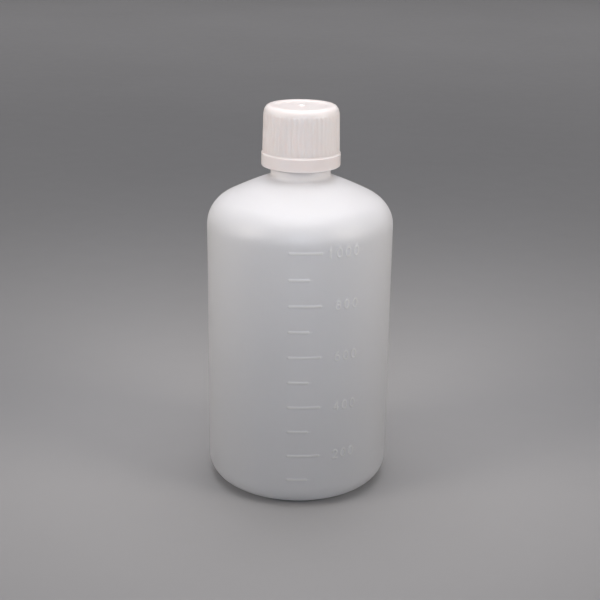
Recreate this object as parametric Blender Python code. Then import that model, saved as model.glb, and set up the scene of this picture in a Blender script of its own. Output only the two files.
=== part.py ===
"""One litre reagent bottle: blow-moulded bottle, inner stopper, liner disc and screw cap.

The base's centre is the origin, +Z runs up the bottle's axis, and the graduations face -Y.
Every piece is turned about the bottle's axis, so each joint's axis is +Z through the origin.
"""

import math

import bmesh
import bpy

# Bottle, in metres.
BODY_RADIUS = 0.0490
WALL = 0.0011
BASE_WALL = 0.0016
HEEL_RADIUS = 0.0111
STANDING_RING_WIDTH = 0.0038
PUSH_UP = 0.0032
SHOULDER_START = 0.1424
SHOULDER_ARC = 0.0170
SHOULDER_TURN = math.radians(62.5)
DOME_ARC = 0.2400
NECK_FILLET = 0.0018
NECK_RADIUS = 0.0160
BORE_RADIUS = 0.0140
NECK_TOP = 0.1990
RIM_CHAMFER = 0.0005
BEAD_HEIGHT = 0.1802
BEAD_RADIUS = 0.0173
BEAD_WIDTH = 0.0022

# Screw thread shared by the neck and the cap.
PITCH = 0.0045
THREAD_START = 0.1850
NECK_THREAD_TURNS = (0.0, 2.0)
CAP_THREAD_TURNS = (0.25, 2.0)
NECK_THREAD_CREST = 0.0176
CAP_THREAD_CREST = 0.01635
RIDGE_ROOT_WIDTH = 0.0020
RIDGE_CREST_WIDTH = 0.0010
RIDGE_EMBED = 0.0004
RIDGE_END_TURNS = 0.08
FLANK_GAP = 0.0003

# Graduations: one tick each 100 ml, and a longer one each 200 ml.
TICK_COUNT = 10
TICK_SPACING = 0.01375
FIRST_TICK = 0.0169
TICK_LEFT = math.radians(-6.0)
SHORT_TICK_RIGHT = math.radians(6.3)
LONG_TICK_RIGHT = math.radians(13.3)
TICK_HEIGHT = 0.0010
TICK_PROUD = 0.0004

# Clear gap left between pieces that touch.
GAP = 0.0003

# Inner stopper.
FLANGE_RADIUS = 0.0158
FLANGE_THICKNESS = 0.0018
PLUG_DEPTH = 0.0100
PLUG_RADIUS = BORE_RADIUS - 0.0006
PLUG_BEAD = 0.0003
PLUG_WALL = 0.0013
DISH_DEPTH = 0.0005
DISH_RADIUS = 0.0110

# Liner disc.
LINER_RADIUS = 0.0172
LINER_THICKNESS = 0.0015
LINER_CHAMFER = 0.0003

# Screw cap.
CAP_BASE = 0.1743
CAP_TOP = 0.2053
CAP_BORE = 0.01795
BAND_RADIUS = 0.02054
BAND_TOP = 0.1810
RIB_COUNT = 48
RIB_DEPTH = 0.00045
RIB_FOOT_RADIUS = 0.02005
RIB_HEAD_RADIUS = 0.0196
RIB_HEAD = 0.2020
CAP_SHOULDER = 0.0029
CAP_DISH_RADIUS = 0.0142
CAP_CHAMFER = 0.0003

SEGMENTS = 64
THREAD_STEPS = 48

SEAL_FACE = NECK_TOP + GAP
LINER_BASE = SEAL_FACE + FLANGE_THICKNESS + GAP
CAP_CEILING = LINER_BASE + LINER_THICKNESS + GAP


def clear_scene():
    for old in list(bpy.data.objects):
        bpy.data.objects.remove(old, do_unlink=True)


def plastic(name, colour, roughness, transmission=0.0):
    """A Principled plastic; natural polyethylene lets some light through."""
    material = bpy.data.materials.new(name)
    material.use_nodes = True
    shader = material.node_tree.nodes["Principled BSDF"]
    shader.inputs["Base Color"].default_value = (*colour, 1.0)
    shader.inputs["Roughness"].default_value = roughness
    shader.inputs["Metallic"].default_value = 0.0
    shader.inputs["Transmission Weight"].default_value = transmission
    return material


def new_object(name, mesh, material, location_z=0.0, parent=None):
    piece = bpy.data.objects.new(name, mesh)
    bpy.context.scene.collection.objects.link(piece)
    piece.location.z = location_z
    if parent:
        piece.parent = parent
    if material:
        mesh.materials.append(material)
    mesh.shade_smooth()
    mesh.set_sharp_from_angle(angle=math.radians(32))
    return piece


def arc(centre, radius, start, end, steps):
    """Points of an arc in the (radius, height) plane, both ends included, angles in radians."""
    points = []
    for i in range(steps + 1):
        angle = start + (end - start) * i / steps
        points.append((centre[0] + radius * math.cos(angle), centre[1] + radius * math.sin(angle)))
    return points


def turned_mesh(name, profile, segments):
    """Revolve a profile about Z. It runs from the axis up the outside and back to the axis.

    A point is (radius, height), or (radius, height, dip) where every second vertex is set in by dip.
    """
    bm = bmesh.new()
    rings = []
    for radius, height, *dip in profile:
        if radius == 0.0:
            rings.append([bm.verts.new((0.0, 0.0, height))])
            continue
        ring = []
        for i in range(segments):
            angle = math.tau * i / segments
            here = radius - (dip[0] if dip and i % 2 else 0.0)
            ring.append(bm.verts.new((here * math.cos(angle), here * math.sin(angle), height)))
        rings.append(ring)
    for lower, upper in zip(rings, rings[1:]):
        for i in range(segments):
            j = (i + 1) % segments
            if len(lower) == 1:
                bm.faces.new((lower[0], upper[j], upper[i]))
            elif len(upper) == 1:
                bm.faces.new((lower[i], lower[j], upper[0]))
            else:
                bm.faces.new((lower[i], lower[j], upper[j], upper[i]))
    return finished_mesh(name, bm)


def finished_mesh(name, bm):
    bmesh.ops.recalc_face_normals(bm, faces=bm.faces)
    mesh = bpy.data.meshes.new(name)
    bm.to_mesh(mesh)
    bm.free()
    return mesh


def tube_of_sections(bm, sections):
    """Skin a row of four-cornered sections and close both ends."""
    rows = [[bm.verts.new(point) for point in section] for section in sections]
    for here, after in zip(rows, rows[1:]):
        for i in range(4):
            j = (i + 1) % 4
            bm.faces.new((here[i], here[j], after[j], after[i]))
    bm.faces.new(list(reversed(rows[0])))
    bm.faces.new(rows[-1])


def ridge_mesh(name, root, crest, turns, base_height):
    """A right-handed screw ridge from the root radius to the crest radius, tapered at both ends."""
    first, last = turns
    steps = round((last - first) * THREAD_STEPS)
    buried = root - RIDGE_EMBED if crest > root else root + RIDGE_EMBED
    sections = []
    for i in range(steps + 1):
        turn = first + (last - first) * i / steps
        rise = min(1.0, (turn - first) / RIDGE_END_TURNS, (last - turn) / RIDGE_END_TURNS)
        top = buried + (crest - buried) * (0.15 + 0.85 * max(rise, 0.0))
        middle = base_height + PITCH * turn
        corners = [
            (buried, middle - RIDGE_ROOT_WIDTH / 2),
            (top, middle - RIDGE_CREST_WIDTH / 2),
            (top, middle + RIDGE_CREST_WIDTH / 2),
            (buried, middle + RIDGE_ROOT_WIDTH / 2),
        ]
        angle = math.tau * turn
        sections.append([(r * math.cos(angle), r * math.sin(angle), z) for r, z in corners])
    bm = bmesh.new()
    tube_of_sections(bm, sections)
    return finished_mesh(name, bm)


def tick_mesh(name):
    """The raised graduation ticks, bars curved round the wall and sunk a little into it."""
    bm = bmesh.new()
    for number in range(1, TICK_COUNT + 1):
        height = FIRST_TICK + (number - 1) * TICK_SPACING
        right = SHORT_TICK_RIGHT if number % 2 else LONG_TICK_RIGHT
        steps = 3 if number % 2 else 4
        corners = [
            (BODY_RADIUS - WALL / 2, height - TICK_HEIGHT / 2),
            (BODY_RADIUS + TICK_PROUD, height - TICK_HEIGHT / 2),
            (BODY_RADIUS + TICK_PROUD, height + TICK_HEIGHT / 2),
            (BODY_RADIUS - WALL / 2, height + TICK_HEIGHT / 2),
        ]
        sections = []
        for i in range(steps + 1):
            angle = TICK_LEFT + (right - TICK_LEFT) * i / steps
            sections.append([(r * math.sin(angle), -r * math.cos(angle), z) for r, z in corners])
        tube_of_sections(bm, sections)
    return finished_mesh(name, bm)


def united(piece, mesh):
    """Join a hidden guide body to a piece with a Boolean union."""
    guide = new_object(mesh.name, mesh, None, parent=piece.parent)
    guide.location = piece.location
    guide.hide_render = True
    guide.display_type = "WIRE"
    union = piece.modifiers.new(mesh.name, "BOOLEAN")
    union.operation = "UNION"
    union.object = guide
    return guide


def shoulder(inset, neck_radius, steps):
    """The shell's line from the top of its straight wall to the foot of its neck.

    A tight shoulder arc, a nearly flat dome arc and a hollow fillet follow each other without a kink.
    """
    arc_radius = SHOULDER_ARC - inset
    dome_radius = DOME_ARC - inset
    fillet = NECK_FILLET + inset
    centre = (BODY_RADIUS - SHOULDER_ARC, SHOULDER_START)
    dome_centre = (
        centre[0] - (DOME_ARC - SHOULDER_ARC) * math.cos(SHOULDER_TURN),
        centre[1] - (DOME_ARC - SHOULDER_ARC) * math.sin(SHOULDER_TURN),
    )
    end_turn = math.acos((neck_radius + fillet - dome_centre[0]) / (dome_radius + fillet))
    fillet_centre = (
        neck_radius + fillet,
        dome_centre[1] + (dome_radius + fillet) * math.sin(end_turn),
    )
    points = arc(centre, arc_radius, 0.0, SHOULDER_TURN, steps)
    points += arc(dome_centre, dome_radius, SHOULDER_TURN, end_turn, 3)[1:]
    points += arc(fillet_centre, fillet, end_turn + math.pi, math.pi, 3)[1:]
    return points


def bottle_profile():
    """Outside from the middle of the push-up to the neck's rim, then inside down to the floor."""
    heel_centre = (BODY_RADIUS - HEEL_RADIUS, HEEL_RADIUS)
    ring_inner = heel_centre[0] - STANDING_RING_WIDTH
    outside = [(0.0, PUSH_UP), (ring_inner * 0.62, PUSH_UP * 0.86), (ring_inner * 0.92, PUSH_UP * 0.45)]
    outside += [(ring_inner, 0.0)]
    outside += arc(heel_centre, HEEL_RADIUS, -math.pi / 2, 0.0, 5)
    outside += shoulder(0.0, NECK_RADIUS, 6)
    outside += [
        (NECK_RADIUS, BEAD_HEIGHT - BEAD_WIDTH / 2),
        (BEAD_RADIUS, BEAD_HEIGHT - BEAD_WIDTH / 4),
        (BEAD_RADIUS, BEAD_HEIGHT + BEAD_WIDTH / 4),
        (NECK_RADIUS, BEAD_HEIGHT + BEAD_WIDTH / 2),
    ]
    outside += [(NECK_RADIUS, NECK_TOP - RIM_CHAMFER), (NECK_RADIUS - RIM_CHAMFER, NECK_TOP)]

    inside = [(BORE_RADIUS + RIM_CHAMFER, NECK_TOP), (BORE_RADIUS, NECK_TOP - RIM_CHAMFER)]
    inside += reversed(shoulder(WALL, BORE_RADIUS, 5))
    inner_heel = HEEL_RADIUS - WALL
    inside += reversed(arc((heel_centre[0], BASE_WALL + inner_heel), inner_heel, -math.pi / 2, 0.0, 4))
    inside += [(ring_inner - WALL, BASE_WALL)]
    inside += [(ring_inner * 0.90, PUSH_UP * 0.45 + BASE_WALL), (ring_inner * 0.62, PUSH_UP * 0.86 + BASE_WALL)]
    inside += [(0.0, PUSH_UP + BASE_WALL)]
    return outside + inside


def make_bottle(material):
    bottle = new_object("bottle_body", turned_mesh("bottle_body", bottle_profile(), SEGMENTS), material)
    thread = ridge_mesh("neck_thread", NECK_RADIUS, NECK_THREAD_CREST, NECK_THREAD_TURNS, THREAD_START)
    united(bottle, thread)
    united(bottle, tick_mesh("graduation_ticks"))
    return bottle


def make_stopper(material, parent):
    """A flanged plug, hollow from below, with a sealing bead near each end of its skirt."""
    inner = PLUG_RADIUS - PLUG_WALL
    profile = [
        (0.0, 0.0),
        (inner, 0.0),
        (inner, -PLUG_DEPTH),
        (PLUG_RADIUS - PLUG_BEAD, -PLUG_DEPTH),
        (PLUG_RADIUS, -PLUG_DEPTH * 0.86),
        (PLUG_RADIUS + PLUG_BEAD, -PLUG_DEPTH * 0.72),
        (PLUG_RADIUS, -PLUG_DEPTH * 0.58),
        (PLUG_RADIUS, -PLUG_DEPTH * 0.38),
        (PLUG_RADIUS + PLUG_BEAD, -PLUG_DEPTH * 0.26),
        (PLUG_RADIUS, -PLUG_DEPTH * 0.14),
        (PLUG_RADIUS, 0.0),
        (FLANGE_RADIUS, 0.0),
        (FLANGE_RADIUS, FLANGE_THICKNESS - RIM_CHAMFER),
        (FLANGE_RADIUS - RIM_CHAMFER, FLANGE_THICKNESS),
        (DISH_RADIUS, FLANGE_THICKNESS),
        (DISH_RADIUS - DISH_DEPTH, FLANGE_THICKNESS - DISH_DEPTH),
        (0.0, FLANGE_THICKNESS - DISH_DEPTH),
    ]
    mesh = turned_mesh("inner_stopper", profile, SEGMENTS)
    return new_object("inner_stopper", mesh, material, SEAL_FACE, parent)


def make_liner(material, parent):
    edge = LINER_RADIUS - LINER_CHAMFER
    profile = [
        (0.0, 0.0),
        (edge, 0.0),
        (LINER_RADIUS, LINER_CHAMFER),
        (LINER_RADIUS, LINER_THICKNESS - LINER_CHAMFER),
        (edge, LINER_THICKNESS),
        (0.0, LINER_THICKNESS),
    ]
    mesh = turned_mesh("cap_liner", profile, SEGMENTS)
    return new_object("cap_liner", mesh, material, LINER_BASE, parent)


def make_cap(material, parent):
    """A ribbed cap with a plain band at its rim, a rounded shoulder and a shallow dish in its top."""
    ceiling = CAP_CEILING - CAP_BASE
    top = CAP_TOP - CAP_BASE
    rib_head = RIB_HEAD - CAP_BASE
    band_top = BAND_TOP - CAP_BASE
    shoulder_radius = RIB_HEAD_RADIUS - RIB_DEPTH
    profile = [
        (0.0, ceiling),
        (CAP_BORE, ceiling),
        (CAP_BORE, CAP_CHAMFER),
        (CAP_BORE + CAP_CHAMFER, 0.0),
        (BAND_RADIUS - CAP_CHAMFER, 0.0),
        (BAND_RADIUS, CAP_CHAMFER),
        (BAND_RADIUS, band_top - CAP_CHAMFER),
        (BAND_RADIUS - CAP_CHAMFER, band_top),
        (RIB_FOOT_RADIUS, band_top, RIB_DEPTH),
        (RIB_HEAD_RADIUS, rib_head - RIB_DEPTH, RIB_DEPTH),
    ]
    shoulder_centre = (shoulder_radius - CAP_SHOULDER, top - CAP_SHOULDER)
    profile += arc(shoulder_centre, CAP_SHOULDER, 0.0, math.pi / 2, 4)
    profile += [
        (CAP_DISH_RADIUS, top),
        (CAP_DISH_RADIUS - DISH_DEPTH, top - DISH_DEPTH),
        (0.0, top - DISH_DEPTH),
    ]
    cap = new_object(
        "screw_cap", turned_mesh("screw_cap", profile, 2 * RIB_COUNT), material, CAP_BASE, parent
    )
    # The cap's ridge bears up against the underside of the neck's ridge.
    offset = (RIDGE_ROOT_WIDTH + RIDGE_CREST_WIDTH) / 2 + FLANK_GAP
    thread_base = THREAD_START - CAP_BASE - offset
    united(cap, ridge_mesh("cap_thread", CAP_BORE, CAP_THREAD_CREST, CAP_THREAD_TURNS, thread_base))
    return cap


def main():
    clear_scene()
    natural = plastic("natural_polyethylene", (0.80, 0.81, 0.82), 0.38, 0.35)
    white = plastic("white_polypropylene", (0.90, 0.86, 0.84), 0.32)
    soft_white = plastic("soft_polyethylene", (0.86, 0.87, 0.86), 0.45, 0.2)
    foam = plastic("foamed_polyethylene", (0.92, 0.92, 0.90), 0.80)

    make_bottle(natural)
    closure = bpy.data.objects.new("closure_axis", None)
    bpy.context.scene.collection.objects.link(closure)
    make_stopper(soft_white, closure)
    make_liner(foam, closure)
    make_cap(white, closure)


main()
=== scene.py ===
import math

import bpy
import numpy as np
from mathutils import Matrix, Vector


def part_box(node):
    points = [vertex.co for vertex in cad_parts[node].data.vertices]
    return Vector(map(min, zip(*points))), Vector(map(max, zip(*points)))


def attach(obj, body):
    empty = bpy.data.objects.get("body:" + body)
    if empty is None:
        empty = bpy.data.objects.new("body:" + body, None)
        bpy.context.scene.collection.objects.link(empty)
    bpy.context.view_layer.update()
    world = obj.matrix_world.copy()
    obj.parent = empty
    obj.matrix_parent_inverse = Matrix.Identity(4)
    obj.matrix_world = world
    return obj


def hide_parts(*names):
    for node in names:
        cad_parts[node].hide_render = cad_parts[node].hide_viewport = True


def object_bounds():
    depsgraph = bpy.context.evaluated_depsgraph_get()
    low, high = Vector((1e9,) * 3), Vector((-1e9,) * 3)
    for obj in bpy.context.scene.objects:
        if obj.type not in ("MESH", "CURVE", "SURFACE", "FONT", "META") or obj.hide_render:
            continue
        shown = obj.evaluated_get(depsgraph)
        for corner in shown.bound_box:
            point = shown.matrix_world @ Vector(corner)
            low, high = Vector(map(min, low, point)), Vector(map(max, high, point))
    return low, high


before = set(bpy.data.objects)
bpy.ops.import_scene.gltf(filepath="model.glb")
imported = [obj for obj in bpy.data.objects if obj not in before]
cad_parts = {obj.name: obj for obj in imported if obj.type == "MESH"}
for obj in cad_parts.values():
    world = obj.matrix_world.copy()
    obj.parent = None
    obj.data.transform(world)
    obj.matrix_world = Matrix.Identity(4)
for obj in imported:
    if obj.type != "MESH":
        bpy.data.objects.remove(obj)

# ---------------------------------------------------------------------------
# Places and sizes, from the frame, in metres
# ---------------------------------------------------------------------------
CAD_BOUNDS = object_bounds()
BOTTLE_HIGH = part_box("bottle_body")[1]
STOPPER_LOW, STOPPER_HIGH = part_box("inner_stopper")
LINER_LOW, LINER_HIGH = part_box("cap_liner")
CAP_LOW, CAP_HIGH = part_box("screw_cap")

BODY_RADIUS = BOTTLE_HIGH.x
NECK_TOP = BOTTLE_HIGH.z
FLANGE_RADIUS = STOPPER_HIGH.x
LINER_RADIUS = LINER_HIGH.x
BAND_RADIUS = CAP_HIGH.x

# Neighbouring pieces keep this gap, and two lengths closer than SAME are equal.
GAP = 0.0003
SAME = 1e-6

# Bottle: what the frame's box doesn't give. The neck's radius is 0.4 mm less than the frame's.
WALL = 0.0011
BASE_WALL = 0.0016
HEEL_RADIUS = 0.0111
STANDING_RING_WIDTH = 0.0038
RING_LIP = 0.0009
PUSH_UP = 0.0032
PUSH_UP_SLOPE = (0.70, 1.0)
PUSH_UP_DROP = 0.86
PUSH_UP_CROWN = 0.14
SHOULDER_START = 0.1424
SHOULDER_ARC = 0.0170
SHOULDER_TURN = math.radians(62.5)
DOME_ARC = 0.2400
NECK_FILLET = 0.0018
NECK_RADIUS = 0.0156
NECK_ROOT = 0.1662
BORE_RADIUS = 0.0140
RIM_ROUND = 0.0005
BEAD_HEIGHT = 0.1802
BEAD_PROUD = 0.0017
BEAD_HALF_WIDTH = 0.0012

# Traces of blow moulding: the seam of the two mould halves, the parison's pinched end under the
# base, and the long waves of the thin wall. A wave is its share, its lobes round the wall, its
# radians a metre up the wall and its phase.
SEAM_PROUD = 0.00006
SEAM_HALF_WIDTH = 0.00040
SEAM_ENDS = (0.0005, NECK_TOP - 0.002)
PINCH_PROUD = 0.0004
PINCH_HALF_WIDTH = 0.0007
PINCH_END = (0.0125, 0.0148)
WALL_SINK = 0.00003
WALL_WAVES = ((1.0, 2.0, 31.0, 0.7), (0.7, 3.0, -74.0, 2.1))
WAVES_RISE = (0.010, 0.030)
WAVES_FALL = (0.125, 0.150)

# Screw thread of the neck and of the cap. The cap's ridge lies THREAD_OFFSET below the neck's.
PITCH = 0.0045
THREAD_START = 0.1850
THREAD_OFFSET = 0.0018
NECK_THREAD_TURNS = (0.0, 2.0)
CAP_THREAD_TURNS = (0.25, 2.0)
CAP_RIDGE_HEIGHT = 0.0016
NECK_RIDGE_HEIGHT = 0.0020
RIDGE_HALF_WIDTH = 0.00100
RIDGE_HALF_CREST = 0.00045
RIDGE_END_TURNS = 0.08

# Graduations, angles in degrees from the front (-Y) towards +X.
TICK_COUNT = 10
TICK_SPACING = 0.01375
FIRST_TICK = 0.0166
TICK_LEFT = -5.6
SHORT_TICK_RIGHT = 5.6
LONG_TICK_RIGHT = 12.9
TICK_HALF_WIDTH = 0.00085
TICK_PROUD = 0.00021
NUMBER_RIGHT = 36.6
NUMBER_PITCH = 5.65
DIGIT_WIDTH = 0.0026
DIGIT_HEIGHT = 0.0045
STROKE_HALF_WIDTH = 0.00050
STROKE_PROUD = 0.00032
NUMBER_DROP = 0.0003
GRADUATION_REACH = math.radians(40.0)

# Spacing of the bottle's mesh: rows in metres, columns in degrees. The close rows and columns reach
# a little past the marks that they carry.
WALL_ROW = 0.0025
TICK_ROW = 0.00021
NUMBER_ROW = 0.00026
THREAD_ROW = 0.00025
NECK_ROW = 0.0016
CLOSEST_ROWS = 0.00010
TICK_REACH = TICK_HALF_WIDTH * 1.1
NUMBER_REACH = DIGIT_HEIGHT / 2 + STROKE_HALF_WIDTH * 1.2
BEAD_REACH = 0.0015
THREAD_REACH = 0.0014
COLUMN = 3.2
NUMBER_COLUMN = 0.30
NUMBER_SIDE = 0.7
TICK_END_COLUMN = 0.25
TICK_END_SIDE = 0.9
CLOSEST_COARSE = 0.5
CLOSEST_COLUMNS = 0.05
SEAM_COLUMNS = (0.0, 0.2, 0.45, 0.8, 1.6)

# Screw cap: what the frame's box doesn't give. The ribs' valleys run out into the band in a quarter
# ellipse, of which the first RUN_OUT_START radians are left out.
CAP_CEILING = LINER_HIGH.z + GAP
CAP_BORE = 0.01795
CEILING_FILLET = 0.0006
RIM_EDGE = 0.0005
BAND_EDGE = 0.0003
BAND_TOP = 0.1810
RIBBED_ROWS = (8, 12, 10)
RUN_OUT_HEIGHT = 0.0016
RUN_OUT_START = 0.55
RIB_COUNT = 48
RIB_DEPTH = 0.00024
RIB_FOOT_RADIUS = 0.02005
RIB_HEAD_RADIUS = 0.0196
RIB_HEAD = 0.2014
RIB_RISE = (BAND_TOP + 0.0003, BAND_TOP + 0.0022)
RIB_FALL = (RIB_HEAD - 0.0004, RIB_HEAD + 0.0007)
CAP_SHOULDER = 0.0031
DISH_RADIUS = 0.0142
DISH_DEPTH = 0.0005
DISH_SLOPE = 0.0024
GATE_RISE = 0.0007
GATE_SLOPE = (0.0006, 0.0018)
KEEPER_DROP = 0.0008
KEEPER_SIZE = 0.0005
CAP_ROW = 0.00024

# Liner.
LINER_EDGE = 0.00025
FLANGE_DENT = 0.00012
FLANGE_DENT_SLOPE = (FLANGE_RADIUS - 0.0002, FLANGE_RADIUS + 0.0003)
DISH_IMPRINT = 0.00008
DISH_IMPRINT_SLOPE = (0.0106, 0.0114)

# Stopper.
STOPPER_SEAT = NECK_TOP + GAP
PLUG_RADIUS = 0.0134
PLUG_WALL = 0.0013
PLUG_BEAD = 0.0003
PLUG_BEAD_HALF_WIDTH = 0.0013
PLUG_BEAD_HEIGHTS = (0.0028, 0.0074)
SKIRT_FILLET = 0.0006
PLUG_LEAD = 0.0003
PLUG_LEAD_HEIGHT = 0.0018
FLANGE_EDGE = 0.0003
FLANGE_ROUND = 0.0006
FLANGE_RING_RADIUS = 0.0068
FLANGE_RING_HALF_WIDTH = 0.0006
FLANGE_RING_RISE = 0.00012
STOPPER_DISH = 0.0005
STOPPER_DISH_SLOPE = (0.0102, 0.0112)
STOPPER_GATE_RISE = 0.00025
STOPPER_GATE_SLOPE = (0.0006, 0.0012)


# ---------------------------------------------------------------------------
# Shape helpers
# ---------------------------------------------------------------------------
def smoothstep(low, high, value):
    """0 below low, 1 above high, smooth between."""
    t = np.clip((value - low) / (high - low), 0.0, 1.0)
    return t * t * (3.0 - 2.0 * t)


def falling(low, high, value):
    """1 below low, 0 above high, smooth between."""
    return 1.0 - smoothstep(low, high, value)


def arc(centre, radius, start, end, steps):
    """Points of an arc in the (radius, height) plane, both ends included, angles in radians."""
    angles = np.linspace(start, end, steps + 1)
    return [(centre[0] + radius * math.cos(a), centre[1] + radius * math.sin(a)) for a in angles]


def line(start, end, steps):
    """Points from start to end, the start left out."""
    return [
        (start[0] + (end[0] - start[0]) * i / steps, start[1] + (end[1] - start[1]) * i / steps)
        for i in range(1, steps + 1)
    ]


def heights(radius, values):
    """Points of an upright line at one radius."""
    return [(radius, z) for z in values]


def even(low, high, step):
    """Evenly spaced values from low to high, both included, no further apart than step."""
    return list(np.linspace(low, high, max(2, math.ceil((high - low) / step) + 1)))


def outward(points):
    """Unit normals of a profile that runs anticlockwise in the (radius, height) plane."""
    p = np.array(points)
    ahead = np.vstack([p[1:], p[-1:]])
    behind = np.vstack([p[:1], p[:-1]])
    along = ahead - behind
    along /= np.maximum(np.linalg.norm(along, axis=1), 1e-12)[:, None]
    return np.column_stack([along[:, 1], -along[:, 0]])


def turned(name, profile, degrees, relief=None, marks=None):
    """Turn a closed profile about Z; its first and last points lie on the axis.

    degrees are the azimuths of the columns, from the front towards +X. relief(radius, height,
    azimuth, normal) gives how far each point stands out along the profile's normal. marks(radius,
    height, azimuth) gives how much each point belongs to a raised mark, kept as the mesh's
    attribute "raised".
    """
    profile = np.array(profile)
    normals = outward(profile)
    azimuth = np.radians(np.array(degrees))
    r = np.repeat(profile[:, :1], len(azimuth), axis=1)
    z = np.repeat(profile[:, 1:], len(azimuth), axis=1)
    around = np.repeat(azimuth[None, :], len(profile), axis=0)
    raised = marks(r, z, around) if marks else None
    if relief:
        out = relief(r, z, around, normals)
        r = r + out * normals[:, :1]
        z = z + out * normals[:, 1:]
    ring = r[1:-1]
    xyz = np.stack([ring * np.sin(azimuth), -ring * np.cos(azimuth), z[1:-1]], axis=-1)
    rows, columns = ring.shape
    first = (0.0, 0.0, float(z[0].mean()))
    last = (0.0, 0.0, float(z[-1].mean()))
    vertices = [first, *map(tuple, xyz.reshape(-1, 3)), last]
    faces = []
    for i in range(columns):
        j = (i + 1) % columns
        faces.append((0, 1 + j, 1 + i))
        for k in range(rows - 1):
            low, high = 1 + k * columns, 1 + (k + 1) * columns
            faces.append((low + i, low + j, high + j, high + i))
        top = 1 + (rows - 1) * columns
        faces.append((top + i, top + j, len(vertices) - 1))
    piece = new_piece(name, vertices, faces)
    if marks:
        attribute = piece.data.attributes.new("raised", "FLOAT", "POINT")
        values = np.concatenate([[0.0], raised[1:-1].ravel(), [0.0]])
        attribute.data.foreach_set("value", values.astype(np.float32))
    return piece


def new_piece(name, vertices, faces):
    """A smooth-shaded mesh object, linked to the scene."""
    mesh = bpy.data.meshes.new(name)
    mesh.from_pydata(vertices, [], faces)
    mesh.validate()
    mesh.shade_smooth()
    piece = bpy.data.objects.new(name, mesh)
    bpy.context.scene.collection.objects.link(piece)
    return piece


def merged(*groups, gap):
    """One sorted list of values, each more than the gap above the last."""
    values = sorted(v for group in groups for v in group)
    kept = values[:1]
    for v in values[1:]:
        if v - kept[-1] > gap:
            kept.append(v)
    return kept


# ---------------------------------------------------------------------------
# Strokes of the raised numbers, in digit widths and heights
# ---------------------------------------------------------------------------
def oval(cx, cy, rx, ry, start=0.0, end=360.0, steps=20):
    """Points of an ellipse, or of its stretch between two angles in degrees."""
    angles = np.radians(np.linspace(start, end, steps + 1))
    return [(cx + rx * math.cos(a), cy + ry * math.sin(a)) for a in angles]


DIGIT_STROKES = {
    "0": [oval(0.50, 0.50, 0.50, 0.50)],
    "1": [[(0.30, 0.80), (0.55, 1.00), (0.55, 0.00)]],
    "2": [oval(0.50, 0.72, 0.48, 0.28, 165.0, -35.0, 12) + [(0.02, 0.00), (1.00, 0.00)]],
    "4": [[(0.72, 0.00), (0.72, 1.00), (0.00, 0.30), (1.00, 0.30)]],
    "6": [
        oval(0.50, 0.32, 0.48, 0.32),
        oval(0.76, 0.34, 0.74, 0.66, 180.0, 98.0, 8),
    ],
    "8": [oval(0.50, 0.76, 0.40, 0.24), oval(0.50, 0.27, 0.48, 0.27)],
}


def distance_to_segments(s, z, segments):
    """Distance from each (s, z) to the nearest of the segments ((s0, z0), (s1, z1))."""
    nearest = np.full(s.shape, 1.0)
    for (s0, z0), (s1, z1) in segments:
        ds, dz = s1 - s0, z1 - z0
        squared = max(ds * ds + dz * dz, 1e-18)
        t = np.clip(((s - s0) * ds + (z - z0) * dz) / squared, 0.0, 1.0)
        nearest = np.minimum(nearest, np.hypot(s - s0 - t * ds, z - z0 - t * dz))
    return nearest


def arc_length(degrees):
    """Length along the wall of an azimuth in degrees."""
    return BODY_RADIUS * math.radians(degrees)


def tick_height(number):
    """Height of a tick's middle; the ticks are numbered from 1 at the bottom."""
    return FIRST_TICK + (number - 1) * TICK_SPACING


def tick_segments():
    """One stroke for each tick; every second tick is a long one."""
    segments = []
    for number in range(1, TICK_COUNT + 1):
        right = SHORT_TICK_RIGHT if number % 2 else LONG_TICK_RIGHT
        z = tick_height(number)
        segments.append(((arc_length(TICK_LEFT), z), (arc_length(right), z)))
    return segments


def number_segments():
    """The strokes of 200, 400, 600, 800 and 1000, right-aligned beside their ticks."""
    segments = []
    for number in range(2, TICK_COUNT + 1, 2):
        text = str(number * 100)
        base = tick_height(number) - NUMBER_DROP - DIGIT_HEIGHT / 2
        for place, digit in enumerate(reversed(text)):
            left = arc_length(NUMBER_RIGHT - place * NUMBER_PITCH) - DIGIT_WIDTH
            for stroke in DIGIT_STROKES[digit]:
                points = [(left + x * DIGIT_WIDTH, base + y * DIGIT_HEIGHT) for x, y in stroke]
                segments += list(zip(points, points[1:]))
    return segments


# ---------------------------------------------------------------------------
# Bottle
# ---------------------------------------------------------------------------
def shoulder(inset, neck_radius, steps):
    """The line from the top of the straight wall to the neck's foot, inset from the outer surface."""
    dome_radius = DOME_ARC - inset
    fillet = NECK_FILLET + inset
    centre = (BODY_RADIUS - SHOULDER_ARC, SHOULDER_START)
    dome_centre = (
        centre[0] - (DOME_ARC - SHOULDER_ARC) * math.cos(SHOULDER_TURN),
        centre[1] - (DOME_ARC - SHOULDER_ARC) * math.sin(SHOULDER_TURN),
    )
    end_turn = math.acos((neck_radius + fillet - dome_centre[0]) / (dome_radius + fillet))
    fillet_centre = (
        neck_radius + fillet,
        dome_centre[1] + (dome_radius + fillet) * math.sin(end_turn),
    )
    points = arc(centre, SHOULDER_ARC - inset, 0.0, SHOULDER_TURN, steps)
    points += arc(dome_centre, dome_radius, SHOULDER_TURN, end_turn, steps // 2)[1:]
    points += arc(fillet_centre, fillet, end_turn + math.pi, math.pi, 6)[1:]
    return points


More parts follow.
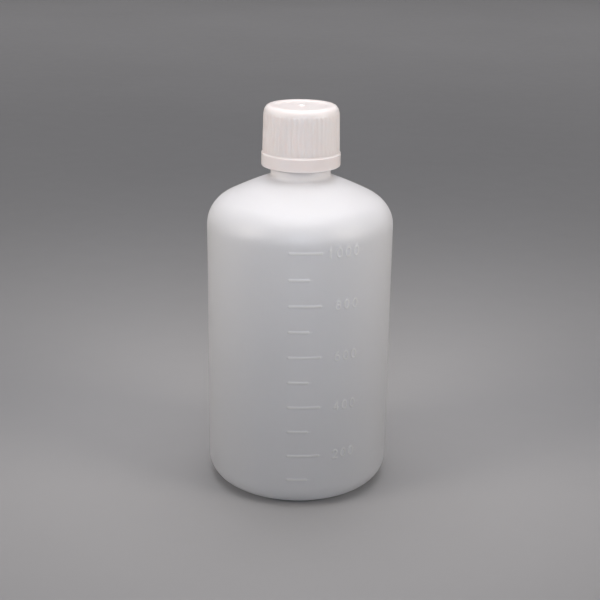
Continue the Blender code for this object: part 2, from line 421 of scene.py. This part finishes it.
def wall_heights():
    """Rows of the straight wall, close together where ticks and numbers stand."""
    low, high = HEEL_RADIUS, SHOULDER_START
    fine = []
    for number in range(1, TICK_COUNT + 1):
        z = tick_height(number)
        fine += even(z - TICK_REACH, z + TICK_REACH, TICK_ROW)
        if number % 2 == 0:
            middle = z - NUMBER_DROP
            fine += even(middle - NUMBER_REACH, middle + NUMBER_REACH, NUMBER_ROW)
    rows = merged(even(low, high, WALL_ROW), fine, gap=CLOSEST_ROWS)
    return [z for z in rows if low < z < high]


def bottle_columns():
    """Azimuths of the columns, close together at the ticks' ends, the numbers and the seams."""
    fine = []
    for end in (TICK_LEFT, SHORT_TICK_RIGHT, LONG_TICK_RIGHT):
        fine += even(end - TICK_END_SIDE, end + TICK_END_SIDE, TICK_END_COLUMN)
    number_left = NUMBER_RIGHT - 3 * NUMBER_PITCH - math.degrees(DIGIT_WIDTH / BODY_RADIUS)
    fine += even(number_left - NUMBER_SIDE, NUMBER_RIGHT + NUMBER_SIDE, NUMBER_COLUMN)
    for seam in (-90.0, 90.0):
        fine += [seam + side * off for side in (-1, 1) for off in SEAM_COLUMNS]
    spaced = np.arange(-180.0, 180.0, COLUMN)
    coarse = [a for a in spaced if min(abs(a - f) for f in fine) > CLOSEST_COARSE]
    return merged(fine, coarse, gap=CLOSEST_COLUMNS)


def push_up(share):
    """Height of the pushed-up base at a share of the standing ring's inner radius."""
    edge_drop = PUSH_UP_DROP * smoothstep(*PUSH_UP_SLOPE, share)
    crown = 1.0 - PUSH_UP_CROWN * share**2
    return float(PUSH_UP * (1.0 - edge_drop) * crown)


def base_profile(ring):
    """The base's outside, from the axis to the standing ring, and its inside back to the axis."""
    shares = [0.0, 0.02, 0.05, 0.1, 0.16, 0.24, 0.34, 0.46]
    shares += [0.58, 0.68, 0.76, 0.83, 0.89, 0.94, 0.97]
    outside = [(ring * share, push_up(share)) for share in shares]
    outside.append((ring - 0.0004, outside[-1][1] * 0.35))
    outside += [(ring + 0.0002, 0.00002), (ring + RING_LIP, 0.0)]
    inside = [
        (ring * share, push_up(share) * min(1.0, 8 * (1 - share)) + BASE_WALL)
        for share in reversed(shares)
    ]
    return outside, inside


def bottle_profile():
    """The shell's section: up the outside from the axis, over the rim and down the inside."""
    heel_centre = (BODY_RADIUS - HEEL_RADIUS, HEEL_RADIUS)
    outside, base_inside = base_profile(heel_centre[0] - STANDING_RING_WIDTH)
    outside += arc(heel_centre, HEEL_RADIUS, -math.pi / 2, 0.0, 14)
    outside += heights(BODY_RADIUS, wall_heights())
    outside += shoulder(0.0, NECK_RADIUS, 18)
    neck_foot = outside[-1][1]
    bead_low, bead_high = BEAD_HEIGHT - BEAD_REACH, BEAD_HEIGHT + BEAD_REACH
    thread_low = THREAD_START - THREAD_REACH
    thread_high = THREAD_START + NECK_THREAD_TURNS[1] * PITCH + THREAD_REACH
    rim_centre = (NECK_RADIUS - RIM_ROUND, NECK_TOP - RIM_ROUND)
    neck_rows = even(neck_foot + NECK_ROW / 2, bead_low - 0.0003, NECK_ROW)
    neck_rows += even(bead_low, bead_high, THREAD_ROW)
    neck_rows += even(thread_low, thread_high, THREAD_ROW)
    neck_rows += even(thread_high + 0.0005, rim_centre[1] - 0.0002, NECK_ROW / 2)
    outside += heights(NECK_RADIUS, neck_rows)
    outside += arc(rim_centre, RIM_ROUND, 0.0, math.pi / 2, 4)

    inside = arc((BORE_RADIUS + RIM_ROUND, rim_centre[1]), RIM_ROUND, math.pi / 2, math.pi, 4)
    inner_shoulder = shoulder(WALL, BORE_RADIUS, 12)
    bore_rows = even(inner_shoulder[-1][1] + 0.001, NECK_TOP - 0.0012, 0.004)
    inside += heights(BORE_RADIUS, reversed(bore_rows))
    inside += reversed(inner_shoulder)
    inner_heel = HEEL_RADIUS - WALL
    inner_centre = (heel_centre[0], BASE_WALL + inner_heel)
    wall_rows = even(inner_centre[1] + 0.002, 0.140, 0.006)
    inside += heights(inner_centre[0] + inner_heel, reversed(wall_rows))
    inside += reversed(arc(inner_centre, inner_heel, -math.pi / 2, 0.0, 10))
    return outside + inside + base_inside


def ridge(distance, half_width, crest=0.45):
    """A rounded ridge's height from 0 to 1; crest is the flat top's share of its half width."""
    return falling(crest, 1.0, distance / half_width)


def screw_ridge(z, azimuth, start, turns):
    """A right-handed ridge's height from 0 to 1. Turns are counted from +X."""
    around = (azimuth / math.tau - 0.25) % 1.0
    height = np.zeros_like(z)
    first, last = turns
    for whole in range(math.floor(first), math.ceil(last) + 1):
        turn = around + whole
        middle = start + PITCH * turn
        share = np.clip(np.minimum(turn - first, last - turn) / RIDGE_END_TURNS, 0.0, 1.0)
        flank = falling(RIDGE_HALF_CREST, RIDGE_HALF_WIDTH, np.abs(z - middle))
        height = np.maximum(height, flank * smoothstep(0.0, 1.0, share))
    return height


def wrap(azimuth):
    """The same azimuth between -pi and pi."""
    return (azimuth + math.pi) % math.tau - math.pi


def graduation(r, z, azimuth):
    """Heights from 0 to 1 of the ticks and of the numbers on the straight wall."""
    ticks, numbers = np.zeros_like(r), np.zeros_like(r)
    wrapped = wrap(azimuth)
    spots = np.where((r > BODY_RADIUS - SAME) & (np.abs(wrapped) < GRADUATION_REACH))
    s = BODY_RADIUS * wrapped[spots]
    to_tick = distance_to_segments(s, z[spots], tick_segments())
    to_number = distance_to_segments(s, z[spots], number_segments())
    ticks[spots] = ridge(to_tick, TICK_HALF_WIDTH)
    numbers[spots] = ridge(to_number, STROKE_HALF_WIDTH, 0.25)
    return ticks, numbers


def raised_marks(r, z, azimuth):
    """How much each point belongs to a tick or a number, for the material's painted highlight on the
    marks.
    """
    return np.maximum(*graduation(r, z, azimuth))


def bottle_relief(r, z, azimuth, normals):
    """Ticks, numbers, the neck's bead and thread, mould seams and the wall's slight unevenness."""
    wrapped = wrap(azimuth)
    ticks, numbers = graduation(r, z, azimuth)
    out = TICK_PROUD * ticks + STROKE_PROUD * numbers

    on_neck = (normals[:, :1] > 0.5) & (np.abs(r - NECK_RADIUS) < SAME)
    bead = ridge(np.abs(z - BEAD_HEIGHT), BEAD_HALF_WIDTH, 0.30)
    thread = screw_ridge(z, wrapped, THREAD_START, NECK_THREAD_TURNS)
    out += np.where(on_neck, BEAD_PROUD * bead + NECK_RIDGE_HEIGHT * thread, 0.0)

    # The profile runs up the outside first, so the outer rows end at the highest one.
    outer = np.arange(len(r))[:, None] <= np.argmax(z[:, 0])

    # The two mould halves meet at +X and -X.
    off_seam = BODY_RADIUS * np.abs(np.abs(wrapped) - math.pi / 2)
    seam_zone = outer & (z > SEAM_ENDS[0]) & (z < SEAM_ENDS[1])
    out += np.where(seam_zone, SEAM_PROUD * ridge(off_seam, SEAM_HALF_WIDTH, 0.1), 0.0)

    # The straight wall's long waves fade out towards the heel and the shoulder.
    fade = smoothstep(*WAVES_RISE, z) * falling(*WAVES_FALL, z)
    wave = sum(
        share * np.sin(lobes * wrapped + climb * z + phase)
        for share, lobes, climb, phase in WALL_WAVES
    )
    out += np.where(outer, -WALL_SINK * fade * (1.0 + 0.5 * wave), 0.0)

    # The pinched end is a low ridge along X across the middle of the base.
    under = outer & (normals[:, 1:] < -0.5)
    pinch = ridge(np.abs(r * np.cos(wrapped)), PINCH_HALF_WIDTH, 0.2)
    out += np.where(under, PINCH_PROUD * pinch * falling(*PINCH_END, r), 0.0)
    return out


def make_bottle():
    """The hollow shell with its graduations, bead and thread in one mesh."""
    bottle = turned(
        "bottle_shell", bottle_profile(), bottle_columns(), bottle_relief, raised_marks
    )
    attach(bottle, "bottle")
    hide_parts("bottle_body")
    bottle.data.materials.append(natural_polyethylene())


# ---------------------------------------------------------------------------
# Cap, liner and stopper
# ---------------------------------------------------------------------------
def cap_profile():
    """The cap's section: from the axis down the inside, round the rim and up the outside."""
    bottom, top = CAP_LOW.z, CAP_HIGH.z
    fillet_centre = (CAP_BORE - CEILING_FILLET, CAP_CEILING - CEILING_FILLET)
    bore_low = bottom + RIM_EDGE
    bore_rows = even(bore_low, fillet_centre[1] - 0.0006, CAP_ROW)
    inside = [(0.0, CAP_CEILING)]
    inside += line((0.0, CAP_CEILING), (fillet_centre[0] - 0.0002, CAP_CEILING), 6)
    inside += arc(fillet_centre, CEILING_FILLET, math.pi / 2, 0.0, 4)
    inside += heights(CAP_BORE, reversed(bore_rows))

    band_in = BAND_RADIUS - BAND_EDGE
    rim = arc((CAP_BORE + RIM_EDGE, bore_low), RIM_EDGE, math.pi, 1.5 * math.pi, 4)
    rim += arc((band_in, bottom + BAND_EDGE), BAND_EDGE, -math.pi / 2, 0.0, 4)
    band = heights(BAND_RADIUS, even(bottom + 0.0010, BAND_TOP - 0.0010, 0.0018))
    band += arc((band_in, BAND_TOP - BAND_EDGE), BAND_EDGE, 0.0, math.radians(45.0), 3)

    # The valleys between the ribs: hollow at the band, then drawn in a little towards the top.
    foot = RIB_FOOT_RADIUS - RIB_DEPTH
    head = RIB_HEAD_RADIUS - RIB_DEPTH
    ribbed = []
    for a in np.linspace(RUN_OUT_START, math.pi / 2, RIBBED_ROWS[0]):
        r = foot + (band_in - foot) * (1.0 - math.sin(a))
        ribbed.append((r, BAND_TOP + RUN_OUT_HEIGHT * (1.0 - math.cos(a))))
    ribbed += line(ribbed[-1], (head + 0.00004, RIB_HEAD - 0.0014), RIBBED_ROWS[1])
    ribbed += line(ribbed[-1], (head, RIB_HEAD), RIBBED_ROWS[2])

    # The rounded shoulder is stretched in height, so that it ends level with the top.
    stretch = (top - RIB_HEAD) / CAP_SHOULDER
    shoulder_arc = arc((head - CAP_SHOULDER, RIB_HEAD), CAP_SHOULDER, 0.0, math.pi / 2, 24)
    crown = [(r, RIB_HEAD + (z - RIB_HEAD) * stretch) for r, z in shoulder_arc[1:]]
    crown += line(crown[-1], (DISH_RADIUS + 0.0003, top), 3)

    # The shallow dish, and in its middle the low mark left by the injection gate.
    for share in np.linspace(1.0, 0.0, 30):
        r = DISH_RADIUS * share
        dip = DISH_DEPTH * smoothstep(0.0, DISH_SLOPE, DISH_RADIUS - r)
        mark = GATE_RISE * falling(*GATE_SLOPE, r)
        crown.append((r, top - dip + mark))
    return inside + rim + band + ribbed + crown


def cap_relief(r, z, azimuth, normals):
    """Ribs outside; the screw ridge and the bead that holds the liner inside."""
    # The profile runs down the inside first, so the outer rows come after the lowest one.
    outer = np.arange(len(r))[:, None] > np.argmin(z[:, 0])
    rib = 0.5 - 0.5 * np.cos(azimuth * RIB_COUNT)
    fade = smoothstep(*RIB_RISE, z) * falling(*RIB_FALL, z)
    out = np.where(outer, RIB_DEPTH * rib * fade, 0.0)

    bore = ~outer & (np.abs(r - CAP_BORE) < SAME)
    thread = screw_ridge(z, azimuth, THREAD_START - THREAD_OFFSET, CAP_THREAD_TURNS)
    keeper = ridge(np.abs(z - (LINER_LOW.z - KEEPER_DROP)), KEEPER_SIZE, 0.1)
    out += np.where(bore, CAP_RIDGE_HEIGHT * thread + KEEPER_SIZE * keeper, 0.0)
    return out


def make_cap():
    """The ribbed cap with its inner thread, eight columns to a rib."""
    columns = np.arange(-180.0, 180.0, 360.0 / (RIB_COUNT * 8))
    cap = turned("ribbed_cap", cap_profile(), columns, cap_relief)
    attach(cap, "cap")
    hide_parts("screw_cap")
    cap.data.materials.append(white_polypropylene())


def make_liner():
    """A foam disc with rounded edges and the dent that the stopper's flange presses into it."""
    low, high = LINER_LOW.z, LINER_HIGH.z
    edge_radius = LINER_RADIUS - LINER_EDGE
    under = []
    for r in np.linspace(0.0, edge_radius, 34):
        dent = FLANGE_DENT * falling(*FLANGE_DENT_SLOPE, r)
        dent -= DISH_IMPRINT * falling(*DISH_IMPRINT_SLOPE, r)
        under.append((r, low + dent))
    side = arc((edge_radius, low + LINER_EDGE), LINER_EDGE, -math.pi / 2, 0.0, 4)
    side += arc((edge_radius, high - LINER_EDGE), LINER_EDGE, 0.0, math.pi / 2, 4)
    top = [(r, high) for r in np.linspace(LINER_RADIUS - 0.001, 0.0, 8)]
    liner = turned("foam_liner", under + side + top, np.arange(-180.0, 180.0, 3.0))
    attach(liner, "liner")
    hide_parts("cap_liner")
    liner.data.materials.append(foamed_polyethylene())


def stopper_profile():
    """The stopper's section: down the hollow skirt, up its beaded outside and over the flange."""
    low, high = STOPPER_LOW.z, STOPPER_HIGH.z
    seat = STOPPER_SEAT
    inner = PLUG_RADIUS - PLUG_WALL
    fillet_centre = (inner - SKIRT_FILLET, seat - SKIRT_FILLET)
    profile = [(0.0, seat)] + line((0.0, seat), (fillet_centre[0] - 0.0002, seat), 5)
    profile += arc(fillet_centre, SKIRT_FILLET, math.pi / 2, 0.0, 4)
    profile += heights(inner, reversed(even(low + 0.0006, seat - 0.0014, 0.0015)))
    skirt_end = (PLUG_RADIUS - PLUG_WALL / 2, low + 0.0005)
    profile += arc(skirt_end, PLUG_WALL / 2, math.pi, math.tau, 8)
    for z in even(low + 0.0008, seat - 0.0006, 0.00025):
        from_beads = [abs(z - low - up) for up in PLUG_BEAD_HEIGHTS]
        bead = sum(ridge(distance, PLUG_BEAD_HALF_WIDTH, 0.1) for distance in from_beads)
        lead = PLUG_LEAD * falling(0.0, PLUG_LEAD_HEIGHT, z - low)
        profile.append((PLUG_RADIUS + PLUG_BEAD * bead - lead, z))
    profile += [(PLUG_RADIUS + 0.0002, seat - 0.0002), (PLUG_RADIUS + 0.0006, seat)]
    lower_edge = (FLANGE_RADIUS - FLANGE_EDGE, seat + FLANGE_EDGE)
    upper_edge = (FLANGE_RADIUS - FLANGE_ROUND, high - FLANGE_ROUND)
    profile += arc(lower_edge, FLANGE_EDGE, -math.pi / 2, 0.0, 4)
    profile += arc(upper_edge, FLANGE_ROUND, 0.0, math.pi / 2, 5)
    for r in np.linspace(0.0140, 0.0, 36):
        dish = STOPPER_DISH * falling(*STOPPER_DISH_SLOPE, r)
        ring = ridge(abs(r - FLANGE_RING_RADIUS), FLANGE_RING_HALF_WIDTH, 0.2) * FLANGE_RING_RISE
        gate = STOPPER_GATE_RISE * falling(*STOPPER_GATE_SLOPE, r)
        profile.append((r, high - dish + ring + gate))
    return profile


def make_stopper():
    """A soft flanged plug: hollow skirt with two sealing beads, dished top and a gate mark."""
    stopper = turned("soft_stopper", stopper_profile(), np.arange(-180.0, 180.0, 2.5))
    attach(stopper, "stopper")
    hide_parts("inner_stopper")
    stopper.data.materials.append(soft_polyethylene())


# ---------------------------------------------------------------------------
# Materials
# ---------------------------------------------------------------------------
class Nodes:
    """A new node material, with short calls for the nodes used here."""

    def __init__(self, name):
        self.material = bpy.data.materials.new(name)
        self.material.use_nodes = True
        self.tree = self.material.node_tree
        self.shader = self.tree.nodes["Principled BSDF"]
        self.place = self.tree.nodes.new("ShaderNodeTexCoord").outputs["Object"]

    def link(self, output, socket):
        self.tree.links.new(output, socket)

    def stretched(self, scale):
        """Object coordinates, scaled differently along each axis."""
        node = self.tree.nodes.new("ShaderNodeMapping")
        node.inputs["Scale"].default_value = scale
        self.link(self.place, node.inputs["Vector"])
        return node.outputs["Vector"]

    def noise(self, scale, detail=3.0, stretch=None):
        node = self.tree.nodes.new("ShaderNodeTexNoise")
        node.inputs["Scale"].default_value = scale
        node.inputs["Detail"].default_value = detail
        self.link(self.stretched(stretch) if stretch else self.place, node.inputs["Vector"])
        return node.outputs["Fac"]

    def voronoi(self, scale):
        node = self.tree.nodes.new("ShaderNodeTexVoronoi")
        node.inputs["Scale"].default_value = scale
        self.link(self.place, node.inputs["Vector"])
        return node.outputs["Distance"]

    def spread(self, value, low, high, start=0.3, end=0.7):
        """Map the middle of a noise's range to low..high."""
        node = self.tree.nodes.new("ShaderNodeMapRange")
        node.inputs["From Min"].default_value = start
        node.inputs["From Max"].default_value = end
        node.inputs["To Min"].default_value = low
        node.inputs["To Max"].default_value = high
        self.link(value, node.inputs["Value"])
        return node.outputs["Result"]

    def rising(self, low, high):
        """0 below the height low, 1 above the height high, smooth between."""
        split = self.tree.nodes.new("ShaderNodeSeparateXYZ")
        self.link(self.place, split.inputs[0])
        node = self.tree.nodes.new("ShaderNodeMapRange")
        node.interpolation_type = "SMOOTHSTEP"
        node.inputs["From Min"].default_value = low
        node.inputs["From Max"].default_value = high
        self.link(split.outputs["Z"], node.inputs["Value"])
        return node.outputs["Result"]

    def ramp(self, value, stops):
        node = self.tree.nodes.new("ShaderNodeValToRGB")
        ramp = node.color_ramp
        while len(ramp.elements) < len(stops):
            ramp.elements.new(0.5)
        for element, (position, colour) in zip(ramp.elements, stops):
            element.position = position
            element.color = (*colour, 1.0)
        self.link(value, node.inputs["Fac"])
        return node.outputs["Color"]

    def attribute(self, name):
        node = self.tree.nodes.new("ShaderNodeAttribute")
        node.attribute_name = name
        return node.outputs["Fac"]

    def mix(self, factor, colour, other):
        """Colour mixed with a constant other colour."""
        node = self.tree.nodes.new("ShaderNodeMix")
        node.data_type = "RGBA"
        self.link(factor, node.inputs[0])
        self.link(colour, node.inputs[6])
        node.inputs[7].default_value = (*other, 1.0)
        return node.outputs[2]

    def bump(self, height, distance, strength=1.0, normal=None):
        node = self.tree.nodes.new("ShaderNodeBump")
        node.inputs["Distance"].default_value = distance
        node.inputs["Strength"].default_value = strength
        self.link(height, node.inputs["Height"])
        if normal:
            self.link(normal, node.inputs["Normal"])
        return node.outputs["Normal"]

    def set(self, **values):
        """Constants on the shader's own sockets, with _ for the spaces in their names."""
        for name, value in values.items():
            self.shader.inputs[name.replace("_", " ")].default_value = value


def natural_polyethylene():
    """Milky blow-moulded wall: satin skin, faint drawn streaks, cooler and warmer clouds, painted
    shade and warm light on the neck.
    """
    n = Nodes("natural_polyethylene")
    clouds = n.noise(22.0, 2.0)
    colour = n.ramp(clouds, [(0.30, (0.896, 0.899, 0.934)), (0.70, (0.904, 0.906, 0.939))])
    # Painted highlight: the ticks and numbers are painted whiter, for the glow of their thicker
    # plastic and the light caught by their upper flanks.
    colour = n.mix(n.attribute("raised"), colour, (0.97, 0.97, 0.97))
    # Painted shade and light: the neck is painted a little darker and warmer, for the shade under the
    # cap and the warm light that comes through the cap's wall.
    colour = n.mix(n.rising(NECK_ROOT, NECK_ROOT + 0.004), colour, (0.87, 0.825, 0.80))
    streaks = n.noise(1.0, 3.0, (420.0, 420.0, 9.0))
    n.link(colour, n.shader.inputs["Base Color"])
    n.link(n.spread(n.noise(160.0, 4.0), 0.34, 0.44), n.shader.inputs["Roughness"])
    skin = n.bump(n.noise(1500.0, 2.0), 0.00002, 0.35)
    drawn = n.bump(streaks, 0.00004, 0.30, skin)
    n.link(n.bump(n.noise(70.0, 2.0), 0.00025, 0.25, drawn), n.shader.inputs["Normal"])
    n.set(Metallic=0.0, IOR=1.54, Subsurface_Weight=1.0, Subsurface_Scale=0.0030)
    n.set(Subsurface_Radius=(1.0, 1.0, 1.0))
    return n.material


def white_polypropylene():
    """Injection-moulded cap: semi-gloss, warm white, with a slight glow at thin edges."""
    n = Nodes("white_polypropylene")
    clouds = n.noise(60.0, 2.0)
    colour = n.ramp(clouds, [(0.30, (0.808, 0.753, 0.726)), (0.70, (0.823, 0.768, 0.741))])
    n.link(colour, n.shader.inputs["Base Color"])
    n.link(n.spread(n.noise(240.0, 4.0), 0.30, 0.40), n.shader.inputs["Roughness"])
    skin = n.bump(n.noise(2200.0, 2.0), 0.00002, 0.30)
    n.link(n.bump(n.noise(120.0, 2.0), 0.00010, 0.20, skin), n.shader.inputs["Normal"])
    n.set(Metallic=0.0, IOR=1.50, Subsurface_Weight=1.0, Subsurface_Scale=0.0018)
    n.set(Subsurface_Radius=(1.0, 0.93, 0.9))
    return n.material


def soft_polyethylene():
    """Soft plug: milkier and duller than the bottle."""
    n = Nodes("soft_polyethylene")
    clouds = n.noise(90.0, 2.0)
    colour = n.ramp(clouds, [(0.30, (0.79, 0.80, 0.80)), (0.70, (0.83, 0.83, 0.82))])
    n.link(colour, n.shader.inputs["Base Color"])
    n.link(n.spread(n.noise(300.0, 3.0), 0.40, 0.52), n.shader.inputs["Roughness"])
    n.link(n.bump(n.noise(1400.0, 2.0), 0.00002, 0.30), n.shader.inputs["Normal"])
    n.set(Metallic=0.0, IOR=1.51, Subsurface_Weight=0.8, Subsurface_Scale=0.002)
    n.set(Subsurface_Radius=(1.0, 1.0, 1.0))
    return n.material


def foamed_polyethylene():
    """Closed-cell foam: matt, with fine cells."""
    n = Nodes("foamed_polyethylene")
    cells = n.voronoi(2600.0)
    colour = n.ramp(cells, [(0.0, (0.74, 0.74, 0.72)), (0.6, (0.86, 0.86, 0.84))])
    n.link(colour, n.shader.inputs["Base Color"])
    n.link(n.spread(n.noise(500.0, 3.0), 0.70, 0.90), n.shader.inputs["Roughness"])
    n.link(n.bump(cells, 0.00008, 0.6), n.shader.inputs["Normal"])
    n.set(Metallic=0.0, Subsurface_Weight=0.3, Subsurface_Scale=0.001)
    return n.material


def pale_floor():
    """Plain matt floor in a warm pale grey, with very faint clouds."""
    n = Nodes("pale_floor")
    clouds = n.noise(3.0, 2.0)
    colour = n.ramp(clouds, [(0.30, (0.500, 0.495, 0.487)), (0.70, (0.520, 0.515, 0.507))])
    n.link(colour, n.shader.inputs["Base Color"])
    n.link(n.spread(n.noise(40.0, 3.0), 0.55, 0.65), n.shader.inputs["Roughness"])
    n.set(Metallic=0.0)
    return n.material


# ---------------------------------------------------------------------------
# Floor, light and camera
# ---------------------------------------------------------------------------
FLOOR_RADII = (0.25, 0.8, 2.0, 6.0)
FLOOR_STEPS = 96


def make_floor():
    """A wide flat disc that the bottle stands on, level with the lowest point of the object."""
    z = CAD_BOUNDS[0].z
    vertices = [(0.0, 0.0, z)]
    for r in FLOOR_RADII:
        for a in (math.tau * i / FLOOR_STEPS for i in range(FLOOR_STEPS)):
            vertices.append((r * math.cos(a), r * math.sin(a), z))
    faces = [(0, 1 + i, 1 + (i + 1) % FLOOR_STEPS) for i in range(FLOOR_STEPS)]
    for ring in range(len(FLOOR_RADII) - 1):
        low, high = 1 + ring * FLOOR_STEPS, 1 + (ring + 1) * FLOOR_STEPS
        for i in range(FLOOR_STEPS):
            j = (i + 1) % FLOOR_STEPS
            faces.append((low + i, high + i, high + j, low + j))
    floor = new_piece("studio_floor", vertices, faces)
    floor.data.materials.append(pale_floor())


def softbox(name, place, target, size, watts, colour, spread):
    """An area light at place, facing target, that the camera doesn't see."""
    lamp = bpy.data.lights.new(name, "AREA")
    lamp.shape = "RECTANGLE"
    lamp.size, lamp.size_y = size
    lamp.energy = watts
    lamp.color = colour
    lamp.spread = math.radians(spread)
    holder = bpy.data.objects.new(name, lamp)
    bpy.context.scene.collection.objects.link(holder)
    towards = (Vector(target) - Vector(place)).to_track_quat("-Z", "Y")
    holder.matrix_world = Matrix.Translation(place) @ towards.to_matrix().to_4x4()
    holder.visible_camera = False


WARM = (1.0, 0.93, 0.87)
COOL = (0.76, 0.84, 1.0)
NEUTRAL = (0.98, 0.96, 1.0)

# Name, place, target, width and height in metres, watts, colour, spread in degrees.
SOFTBOXES = (
    ("top_softbox", (0.0, 0.0, 0.50), (0.0, 0.0, 0.0), (0.40, 0.40), 1.16, NEUTRAL, 180.0),
    ("front_softbox", (0.0, -0.95, 0.50), (0.0, 0.0, 0.32), (0.60, 0.40), 0.355, COOL, 47.0),
    ("left_softbox", (-0.55, -0.27, 0.42), (0.0, 0.0, 0.30), (0.30, 0.30), 0.375, WARM, 62.0),
    ("right_softbox", (0.55, -0.27, 0.42), (0.0, 0.0, 0.30), (0.30, 0.30), 0.375, WARM, 62.0),
    ("back_wash", (0.0, 2.40, 1.70), (0.0, 2.20, 0.0), (5.0, 2.40), 27.0, NEUTRAL, 180.0),
    ("front_wash", (0.0, -2.60, 1.70), (0.0, -2.50, 0.0), (5.0, 2.40), 6.0, NEUTRAL, 90.0),
    ("left_wash", (-2.60, 0.0, 1.70), (-2.50, 0.0, 0.0), (5.0, 2.40), 5.0, NEUTRAL, 120.0),
    ("right_wash", (2.60, 0.0, 1.70), (2.50, 0.0, 0.0), (5.0, 2.40), 5.0, NEUTRAL, 120.0),
)
AMBIENT = (0.9, 0.95, 1.0)
AMBIENT_STRENGTH = 0.03


def make_lights():
    """The softboxes, and a dim even light from all round."""
    for box in SOFTBOXES:
        softbox(*box)
    world = bpy.data.worlds.new("studio")
    bpy.context.scene.world = world
    world.use_nodes = True
    background = world.node_tree.nodes["Background"]
    background.inputs["Color"].default_value = (*AMBIENT, 1.0)
    background.inputs["Strength"].default_value = AMBIENT_STRENGTH


# Place in metres, turns in degrees, lens in millimetres. The camera stands in front and looks down.
CAMERA_PLACE = (0.0, -12.49 * BODY_RADIUS, 6.3712 * BODY_RADIUS)
CAMERA_PITCH = 19.16
CAMERA_YAW = -0.051
CAMERA_ROLL = 0.80
CAMERA_LENS = 71.98
SENSOR_WIDTH = 36.0


def make_camera():
    camera = bpy.data.cameras.new("camera")
    camera.lens = CAMERA_LENS
    camera.sensor_width = SENSOR_WIDTH
    camera.clip_start = 0.01
    camera.clip_end = 50.0
    holder = bpy.data.objects.new("camera", camera)
    bpy.context.scene.collection.objects.link(holder)
    holder.matrix_world = (
        Matrix.Translation(CAMERA_PLACE)
        @ Matrix.Rotation(math.radians(CAMERA_YAW), 4, "Z")
        @ Matrix.Rotation(math.radians(90.0 - CAMERA_PITCH), 4, "X")
        @ Matrix.Rotation(math.radians(CAMERA_ROLL), 4, "Z")
    )
    bpy.context.scene.camera = holder


make_camera()
make_bottle()
make_stopper()
make_liner()
make_cap()
make_floor()
make_lights()
bpy.context.scene.view_settings.view_transform = "Standard"
